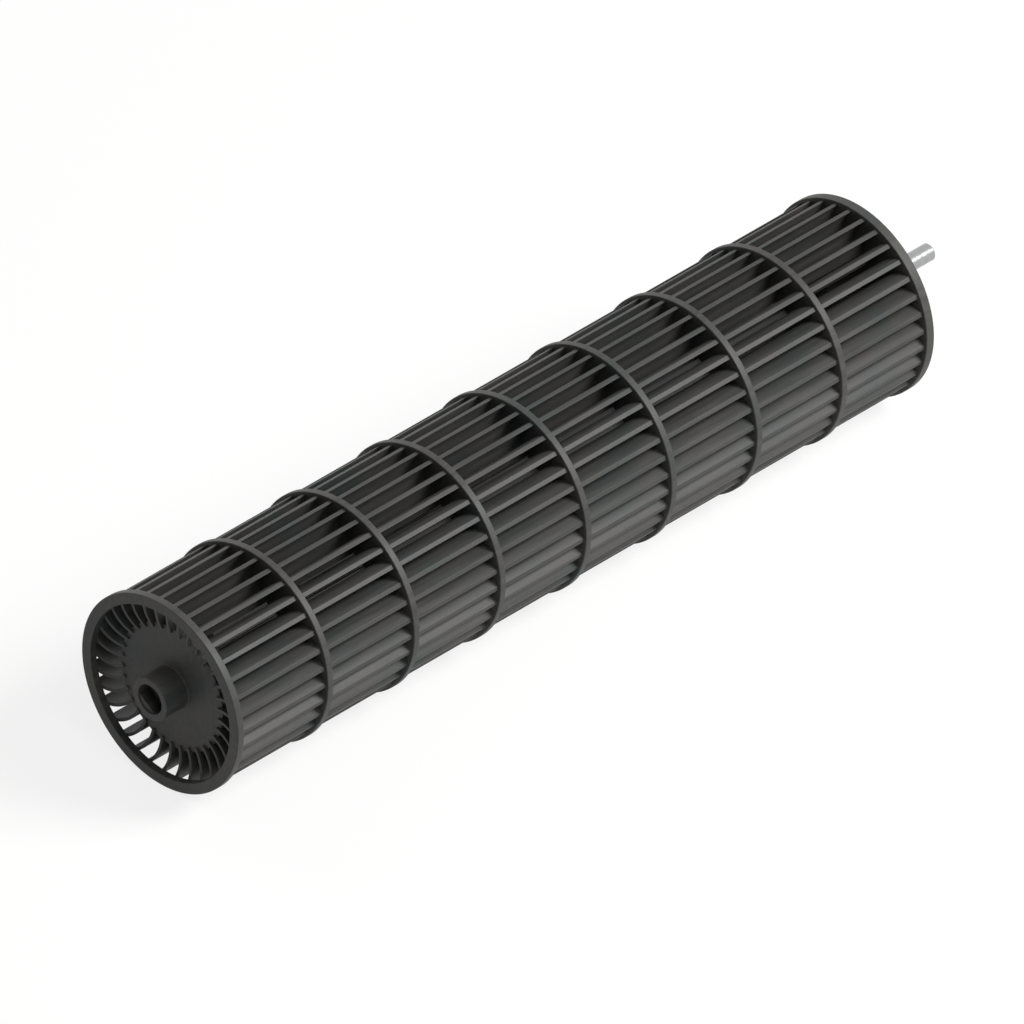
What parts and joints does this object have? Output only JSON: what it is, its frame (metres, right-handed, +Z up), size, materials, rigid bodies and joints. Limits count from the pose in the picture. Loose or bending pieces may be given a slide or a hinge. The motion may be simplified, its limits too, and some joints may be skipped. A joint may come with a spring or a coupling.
{
  "type": "cross flow fan rotor",
  "caption": "Long drum-shaped cross flow fan rotor: rows of forward-curved blades between thin discs, a recessed motor hub at one end and a steel bearing pin at the other.",
  "frame": {"origin": "centre of the motor socket's mouth, on the boss's front face", "axes": "+X along the fan's axis from the motor end to the bearing pin, +Z up"},
  "size_m": [0.465, 0.092, 0.092],
  "materials": {
    "plastic": "satin charcoal, glass-filled moulding",
    "steel": "ground bright steel"
  },
  "bodies": {
    "root": {"hub_block": "plastic", "blade_block_2": "plastic", "blade_block_3": "plastic", "blade_block_4": "plastic", "blade_block_5": "plastic", "blade_block_6": "plastic", "blade_block_7": "plastic", "blade_block_8": "plastic", "end_plate": "plastic", "bearing_pin": "steel"}
  },
  "joints": []
}
